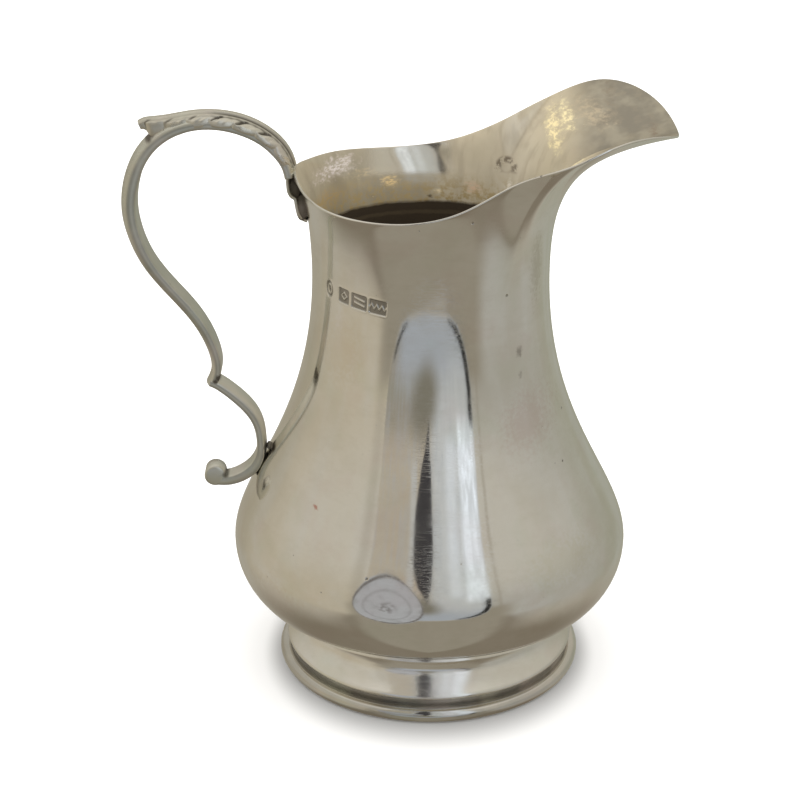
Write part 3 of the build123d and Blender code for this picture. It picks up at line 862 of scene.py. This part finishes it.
def inner_coat(net, place, depth):
    """Dull film inside, coloured with painted reflections, highlights and shade and with dried marks: its
    colour, and how much of the silver it hides.
    """
    mix, step, times, noise = net.mix, net.step, net.times, net.noise
    parts = net.add("SeparateXYZ", {0: place}).node.outputs
    x, y, z = parts[0], parts[1], parts[2]
    fine = noise(place, 0.9, 5.0, 0.65)
    flecks = noise(net.stretched(place, (0.9, 0.9, 2.6), (0.0, 0.9, 0.0)), 1.0, 3.0, 0.6)
    soft = noise(place, 0.22, 3.0)
    streak = noise(net.stretched(place, (0.5, 0.5, 0.06)), 1.0, 3.0)
    near_dark_line = times(net.fall(depth, DARK_LINE_Z + 1.0, DARK_LINE_Z + 6.5), step(fine, 0.42, 0.62))
    # Painted reflections: lighter and darker bands across the inside by x, soft patches, streaks, and a
    # yellower band just above the dark line.
    colour = net.layers(
        tone(147, 138, 118),
        (step(x, -3.0, 4.0), tone(186, 175, 152)),
        (step(x, 8.0, 14.0), tone(182, 172, 152)),
        (step(x, 15.0, 22.0, 0.0, 0.8), tone(164, 152, 126)),
        (step(x, 21.0, 29.0), tone(100, 94, 82)),
        (step(soft, 0.4, 0.7, 0.0, 0.35), tone(166, 158, 136)),
        (step(streak, 0.45, 0.7, 0.0, 0.3), tone(128, 118, 98)),
        (near_dark_line, tone(158, 140, 100)))
    ragged = net.wander(fine, 2.2)
    broken = step(flecks, 0.42, 0.6, 0.25, 1.0)
    for centre, half, rgb, share in INSIDE_MARKS_AND_HIGHLIGHTS:
        spot = times(soft_spot(net, x, z, centre, half, ragged, 0.1, 1.3), share)
        colour = mix(times(spot, broken), colour, tone(*rgb))
    cx, cz, radius = RING_MARK
    ring = times(net.band(net.oval(x, z, (cx, cz), (1, 1)), radius, 0.2, 0.6),
                 step(fine, 0.4, 0.54), step(z, cz - 1.2, cz - 0.2))
    colour = mix(times(ring, 0.8), colour, tone(84, 70, 54))
    # Below the line the film is painted shade of the deep inside, with faint painted rings of reflection.
    low = net.fall(depth, DARK_LINE_Z - 0.35, DARK_LINE_Z + 0.35)
    rings = net.math("SINE", times(depth, 2.4))
    deep_shade = mix(step(rings, 0.4, 1.0, 0.0, 0.5), tone(60, 52, 42), tone(84, 74, 58))
    colour = mix(low, colour, deep_shade)
    bare = times(step(z, 82.6, 84.4), net.band(x, -3.5, 4.0, 6.0), step(y, 2.0, 8.0))
    share = net.math("MAXIMUM", step(bare, 0.0, 1.0, 0.82, 0.12), low)
    return colour, share


def metal(name, clean, rough, worn, coated=False):
    """Polished silver with stained patches, tarnish and painted shade in recesses, corners and joints,
    scratches, pits and soft unevenness.

    worn is the height of broad waves, ripples and grain, and the depth of scratches and pits.
    """
    material, net = new_material(name)
    step, times, plus, noise = net.step, net.times, net.plus, net.noise
    spot = net.add("TexCoord", {}, "Object")
    place = net.add("VectorMath", {0: spot, 1: [1 / MM] * 3}, operation="MULTIPLY")
    recess, inside = net.attribute("recess"), net.attribute("inside")
    height_mm = net.add("SeparateXYZ", {0: place}, "Z")
    cloud = step(noise(place, 0.055, 4.0, 0.6), 0.42, 0.66)
    smear = noise(net.stretched(place, (0.16, 0.16, 0.4), (0.5, 0.3, 0.2)), 1.0, 5.0, 0.65)
    smear = step(smear, 0.45, 0.72)
    pit = plus(pits(net, place, 5.5, 0.32, 0.3), pits(net, place, 2.3, 0.14, 0.16))
    pit = net.math("MINIMUM", pit, 1.0)
    lines = [hairlines(net, place, scale, turn, 0.012) for scale, turn in SCRATCHES]
    scratch = net.math("MINIMUM", plus(*lines), 1.0)
    blush = noise(place, 0.13, 3.0, 0.55)
    green = noise(net.stretched(place, (0.1, 0.1, 0.1), (0.7, 0.2, 0.4)), 1.0, 3.0, 0.55)
    colour = net.layers(
        clean,
        (times(cloud, 0.55), DULL),
        (times(smear, 0.3), DULL),
        (times(pit, 0.7), GRIME_AND_SHADE),
        (times(scratch, 0.1), DULL),
        # tarnish in the struck marks; painted shade in the handle's corners and edges, the foot's groove,
        # the leaf, the drop and the solder
        (net.math("MINIMUM", times(recess, 0.92), 1.0), GRIME_AND_SHADE),
        (times(step(blush, 0.5, 0.68), 0.28), BLUSH),
        (times(step(green, 0.5, 0.68), 0.28), GREEN))
    if coated:
        colour = net.layers(colour, *front_wear(net, place, inside))
    # Inside, below a ragged line, the silver is painted shade.
    ragged_height = plus(height_mm, net.wander(noise(place, 0.35, 4.0), 0.7))
    inside_shade = times(inside, net.fall(ragged_height, DARK_LINE_Z - 1.0, DARK_LINE_Z + 1.0))
    colour = net.layers(colour, (times(inside, 0.45), BUTTER), (times(inside_shade, 0.94), INSIDE_SHADE))
    rougher = [(cloud, 0.03), (smear, 0.03), (scratch, 0.08), (pit, 0.3), (recess, 0.3),
               (inside_shade, 0.3), (inside, 0.04)]
    roughness = plus(rough, *[times(part, more) for part, more in rougher])
    wave, ripple, grain = [noise(place, *n) for n in ((0.09, 2.0), (0.5, 3.0), (6.0, 2.0))]
    uneven = zip((wave, ripple, grain, scratch, pit), (1, 1, 1, -1, -1), worn)
    height = plus(*[times(part, sign * high) for part, sign, high in uneven])
    facing = net.add("NewGeometry", {}, "Normal")
    if coated:
        lean = times(inside, step(height_mm, 83.5, 88.0, INSIDE_LEAN, 0.0))
        for angle, axis in ((lean, "X_AXIS"), (times(inside, INSIDE_TURN), "Z_AXIS")):
            facing = net.add("VectorRotate", {"Vector": facing, "Angle": angle}, rotation_type=axis)
    bump = net.add("Bump", {"Height": height, "Distance": MM, "Strength": 1.0, "Normal": facing})
    look = {"Base Color": colour, "Metallic": 1.0, "Roughness": roughness, "Normal": bump}
    surface = net.add("BsdfPrincipled", look)
    if coated:
        film, share = inner_coat(net, place, ragged_height)
        film = net.add("BsdfDiffuse", {"Color": film, "Roughness": 0.5})
        surface = net.add("MixShader", {0: times(inside, share), 1: surface, 2: film})
    net.add("OutputMaterial", {"Surface": surface})
    return material


def dress(pieces, material):
    for piece in pieces:
        piece.data.materials.append(material)


# ---- room that the silver reflects ----
# Seen only in reflections: azimuth 0 is the camera's side, elevation 0 the horizon.
WALL_FAR_LEFT, WALL_LEFT = tone(154, 146, 126), tone(174, 164, 143)
WALL_RIGHT, WALL_FAR_RIGHT = tone(157, 153, 141), tone(151, 149, 131)
WALL_HIGH = tone(182, 176, 161)
TABLE, TABLE_SIDE, TABLE_NEAR = tone(120, 111, 96), tone(160, 153, 137), tone(120, 111, 95)
PANEL_WARM, PANEL_COOL, PANEL_GREY = tone(166, 156, 137), tone(180, 181, 177), tone(154, 158, 161)
STRIP, BLOB, FIGURE = tone(236, 243, 248), tone(116, 112, 99), tone(56, 54, 54)
EDGE, CEILING, SEAM, MURK = tone(22, 20, 18), tone(205, 199, 186), tone(140, 132, 116), tone(138, 131, 115)
MIRROR_GAIN = (1.13, 1.16, 1.23, 1)  # the silver gives back less than it gets


def room_base(net, az, el, soft):
    """Walls, table and ceiling, by azimuth and elevation in degrees."""
    step = net.step
    away = net.math("ABSOLUTE", az)
    left = net.mix(step(az, -150.0, -95.0), WALL_FAR_LEFT, WALL_LEFT)
    right = net.mix(step(az, 85.0, 150.0), WALL_RIGHT, WALL_FAR_RIGHT)
    wall = net.layers(
        net.mix(step(az, -35.0, 35.0), left, right),
        (step(el, -4.0, 22.0, 0.0, 0.75), WALL_HIGH),
        (step(soft, 0.4, 0.7, 0.0, 0.2), PANEL_COOL),
        (net.times(net.band(az, -42.0, 0.5, 6.0), 0.35), SEAM),
        (net.times(net.band(az, 39.0, 0.3, 1.4), 0.5), SEAM))
    table = net.layers(TABLE, (step(away, 42.0, 75.0), TABLE_SIDE), (net.fall(el, -55.0, -30.0), TABLE_NEAR))
    above = net.minus(el, step(away, 36.0, 60.0, -21.5, -30.0))
    blur_low = step(away, 36.0, 60.0, -2.5, -10.0)
    blur_high = step(away, 36.0, 60.0, 2.5, 10.0)
    return net.layers(table, (step(above, blur_low, blur_high), wall), (step(el, 32.0, 60.0), CEILING))


def window_panel(net, way, az, el, reach):
    """The pale panel in front of the jug, with its bright strip, dark figure and dark edge."""
    step, fall, band, times = net.step, net.fall, net.band, net.times
    warm_low = times(fall(el, 4.0, 14.0), fall(az, -8.0, 0.0))
    glint = times(band(az, -12.0, 0.8, 2.5), step(el, 13.0, 20.0), 0.7)
    grey_left = times(fall(el, -12.0, 4.0), step(az, -36.0, -22.0))
    cool_right = times(step(az, 6.0, 22.0), step(el, -22.0, 0.0), 0.5)
    streak = net.noise(net.stretched(way, (34.0, 34.0, 3.0)), 1.0, 3.0, 0.6)
    bright = times(band(az, 27.0, 4.5, 3.0), step(el, 2.0, 11.0), step(streak, 0.3, 0.62, 1.0, 0.35))
    pale = times(band(az, 15.0, 1.0, 5.0), step(el, 8.0, 14.0), 0.3)
    blob = net.oval(net.plus(az, times(el, 0.25)), el, (-5.0, 1.0), (15.0, 14.0))
    centre = step(el, 4.0, 30.0, -1.6, -4.8)
    half = step(el, 4.0, 30.0, 0.1, 6.2)
    off = net.minus(net.math("ABSOLUTE", net.minus(az, centre)), half)
    figure = times(fall(off, -0.4, 0.4), step(el, 4.5, 6.0))
    apron = times(step(reach, 0.84, 0.93), band(az, -2.0, 14.0, 8.0), 0.8)
    rim_right = times(band(reach, 0.86, step(az, 16.0, 30.0, 0.045, 0.1), 0.035),
                      fall(el, 4.0, 9.0), step(az, 13.0, 17.0))
    rim_left = times(band(reach, 0.86, 0.035, 0.035),
                     step(az, -20.0, -23.0, 0.0, 0.9), fall(el, -12.0, -8.0))
    return net.layers(
        net.mix(step(az, -5.0, 5.0), PANEL_WARM, PANEL_COOL),
        (warm_low, MURK), (glint, PANEL_COOL), (grey_left, PANEL_GREY), (cool_right, PANEL_COOL),
        (step(streak, 0.4, 0.7, 0.0, 0.45), PANEL_GREY), (bright, STRIP), (pale, STRIP),
        (fall(blob, 0.3, 1.05), BLOB), (figure, FIGURE), (apron, TABLE_SIDE),
        (net.plus(rim_right, rim_left), EDGE))


def room(net):
    """Colour of the room by direction."""
    way = net.add("TexCoord", {}, "Generated")
    x, y, z = net.add("SeparateXYZ", {0: way}).node.outputs
    to_degrees = 180 / pi
    azimuth = net.times(net.math("ARCTAN2", x, net.times(y, -1.0)), to_degrees)
    elevation = net.times(net.math("ARCSINE", z), to_degrees)
    soft = net.noise(way, 3.0, 3.0)
    az = net.plus(azimuth, net.wander(net.noise(way, 14.0, 3.0), 1.2))
    el = net.plus(elevation, net.wander(soft, 2.0))
    base = room_base(net, az, el, soft)

    # reach is 1 on the panel's outline, which is rounded below and runs up without end.
    side = net.math("ABSOLUTE", net.math("DIVIDE", net.plus(az, 1.5), 35.5))
    down = net.math("MAXIMUM", net.math("DIVIDE", net.minus(6.0, el), 27.5), 0.0)
    reach = net.plus(net.math("POWER", side, 3.0), net.math("POWER", down, 3.0))
    murk = net.times(net.step(reach, 0.97, 1.05), net.band(az, 0.0, 38.0, 14.0), net.fall(el, -8.0, 0.0))
    panel = window_panel(net, way, az, el, reach)
    colour = net.layers(base, (murk, MURK), (net.fall(reach, 0.97, 1.03), panel))
    return net.add("Mix", {0: 1.0, 6: colour, 7: MIRROR_GAIN}, 2, data_type="RGBA", blend_type="MULTIPLY")


# Low oval card close to the left front of the jug, seen only in the lower belly.
PAPER_PLACE, PAPER_HALF = np.array([-22.0, -66.0, 24.5]), (19.0, 23.0)
PAPER_TILT = radians(12)
PAPER_REACH = 50.0  # mirrors further away than this don't show it
PAPER_TONE, PAPER_GREY, PAPER_INK = tone(168, 170, 174), tone(146, 146, 149), tone(92, 87, 82)


def stage_mesh(name, places, visible):
    """A flat face that belongs to the room, seen only by the kinds of ray in visible."""
    mesh = bpy.data.meshes.new(name)
    mesh.from_pydata(places, [], [list(range(len(places)))])
    thing = new_object(name, mesh)
    for kind in ("camera", "diffuse", "glossy", "shadow"):
        setattr(thing, "visible_" + kind, kind in visible)
    return thing


def add_paper():
    """The oval card, which only reflections show."""
    turn = atan2(PAPER_PLACE[0], -PAPER_PLACE[1])
    a = 2 * pi * np.arange(48) / 48
    wide, high = PAPER_HALF[0] * np.cos(a), PAPER_HALF[1] * np.sin(a)
    across = wide * cos(PAPER_TILT) - high * sin(PAPER_TILT)
    up = wide * sin(PAPER_TILT) + high * cos(PAPER_TILT)
    places = PAPER_PLACE + np.stack([across * cos(turn), across * sin(turn), up], -1)
    paper = stage_mesh("paper", (places * MM).tolist(), ("glossy",))
    material, net = new_material("paper_glow")
    spot = net.add("TexCoord", {}, "Object")
    shifted = net.add("VectorMath", {0: spot, 1: PAPER_PLACE * MM}, operation="SUBTRACT")
    scale = (1 / (PAPER_HALF[0] * MM), 0, 1 / (PAPER_HALF[1] * MM))
    turned = net.add("Mapping", {"Vector": shifted, "Rotation": (0, 0, -turn), "Scale": scale})
    far = net.add("VectorMath", {0: turned}, "Value", operation="LENGTH")
    rings = [net.band(far, 0.95, 0.02, 0.03), net.times(net.band(far, 0.62, 0.01, 0.05), 0.3)]
    scribble = net.step(net.noise(spot, 420.0, 2.0), 0.46, 0.58)
    ink = net.plus(*rings, net.times(net.fall(far, 0.1, 0.36), scribble, 0.7))
    smudge = net.step(net.noise(spot, 160.0, 4.0), 0.5, 0.7, 0.0, 0.5)
    colour = net.layers(PAPER_TONE, (smudge, PAPER_GREY), (net.times(ink, 0.85), PAPER_INK))
    glow = net.add("Emission", {"Color": colour, "Strength": 1.0})
    clear = net.add("BsdfTransparent", {})
    length = net.add("LightPath", {}, "Ray Length")
    too_far = net.step(length, (PAPER_REACH - 1) * MM, (PAPER_REACH + 1) * MM)
    both = net.add("MixShader", {0: too_far, 1: glow, 2: clear})
    net.add("OutputMaterial", {"Surface": both})
    paper.data.materials.append(material)


LIGHT, LIGHT_STRENGTH = tone(255, 254, 252), 1.9


def add_world():
    """Plain light for everything but reflections, which see the room."""
    world = bpy.data.worlds.new("studio")
    bpy.context.scene.world = world
    world.use_nodes = True
    net = Net(world.node_tree)
    path = net.add("LightPath", {}).node.outputs
    mirrored = net.math("MAXIMUM", path["Is Glossy Ray"], path["Is Transmission Ray"])
    reflected = net.add("Background", {"Color": room(net), "Strength": 1.0})
    light = net.add("Background", {"Color": LIGHT, "Strength": LIGHT_STRENGTH})
    both = net.add("MixShader", {0: mirrored, 1: light, 2: reflected})
    net.add("OutputWorld", {"Surface": both})


FLOOR_HALF, FLOOR_DROP = 6000.0, 0.05
FLOOR_TONE, FLOOR_DARK = tone(236, 236, 236), 0.55
SHADE_SIDE, SHADE_FRONT = 3.6, 9.0  # how far the soft shade round the foot reaches


def add_floor():
    """Pale floor with a soft shade round the foot."""
    corners = np.array([(-1, -1, 0), (1, -1, 0), (1, 1, 0), (-1, 1, 0)]) * FLOOR_HALF * MM
    floor = stage_mesh("floor", corners.tolist(), ("camera", "diffuse", "shadow"))
    floor.location.z = -FLOOR_DROP * MM
    material, net = new_material("pale_floor")
    x, y, z = net.add("SeparateXYZ", {0: net.add("TexCoord", {}, "Object")}).node.outputs
    far = net.add("VectorMath", {0: net.add("CombineXYZ", {0: x, 1: y})}, "Value", operation="LENGTH")
    front = net.math("POWER", net.math("DIVIDE", y, far), 2.0)
    reach = net.plus(SHADE_SIDE * MM, net.times(front, (SHADE_FRONT - SHADE_SIDE) * MM))
    gap = net.math("DIVIDE", net.minus(far, WIRE_HIGH[0] * MM), reach)
    colour = net.mix(net.step(gap, -0.15, 1.0, FLOOR_DARK, 1.0), (0, 0, 0, 1), FLOOR_TONE)
    net.add("OutputMaterial", {"Surface": net.add("BsdfDiffuse", {"Color": colour})})
    floor.data.materials.append(material)


CAMERA_TARGET = Vector((-5.1724, 0.0, 48.7135))
CAMERA_RISE, CAMERA_FAR, CAMERA_LENS = radians(23.987), 379.31, 99.0


def add_camera():
    data = bpy.data.cameras.new("camera")
    data.sensor_width, data.lens = 36.0, CAMERA_LENS
    data.clip_start, data.clip_end = 0.01, 50
    camera = new_object("camera", data)
    target = CAMERA_TARGET * MM
    back = Vector((0, -cos(CAMERA_RISE), sin(CAMERA_RISE)))
    camera.location = target + CAMERA_FAR * MM * back
    camera.rotation_euler = (target - camera.location).to_track_quat("-Z", "Y").to_euler()
    bpy.context.scene.camera = camera


body = body_piece()
wire, collet, seam = foot_pieces()
scrolls = scroll_pieces()
leaf = leaf_piece()
drop = drop_piece()
solder = solder_pieces()
CAST_WORN = (0.02, 0.012, 0.001, 0.004, 0.05)
dress([body], metal("body_silver", SILVER, 0.05, (0.016, 0.0015, 0.0001, 0.001, 0.05), True))
dress([wire], metal("wire_silver", WIRE, 0.09, (0.012, 0.002, 0.0002, 0.001, 0.05)))
dress([collet], metal("foot_silver", SILVER, 0.13, (0.03, 0.01, 0.0004, 0.001, 0.05)))
dress([leaf], metal("leaf_silver", LEAF, 0.27, CAST_WORN))
dress(scrolls + [drop], metal("handle_silver", CAST, 0.27, CAST_WORN))
dress([seam] + solder, metal("solder", SOLDER, 0.32, (0.04, 0.08, 0.008, 0.0, 0.06)))

add_world()
add_paper()
add_floor()
add_camera()
bpy.context.scene.view_settings.view_transform = "Standard"
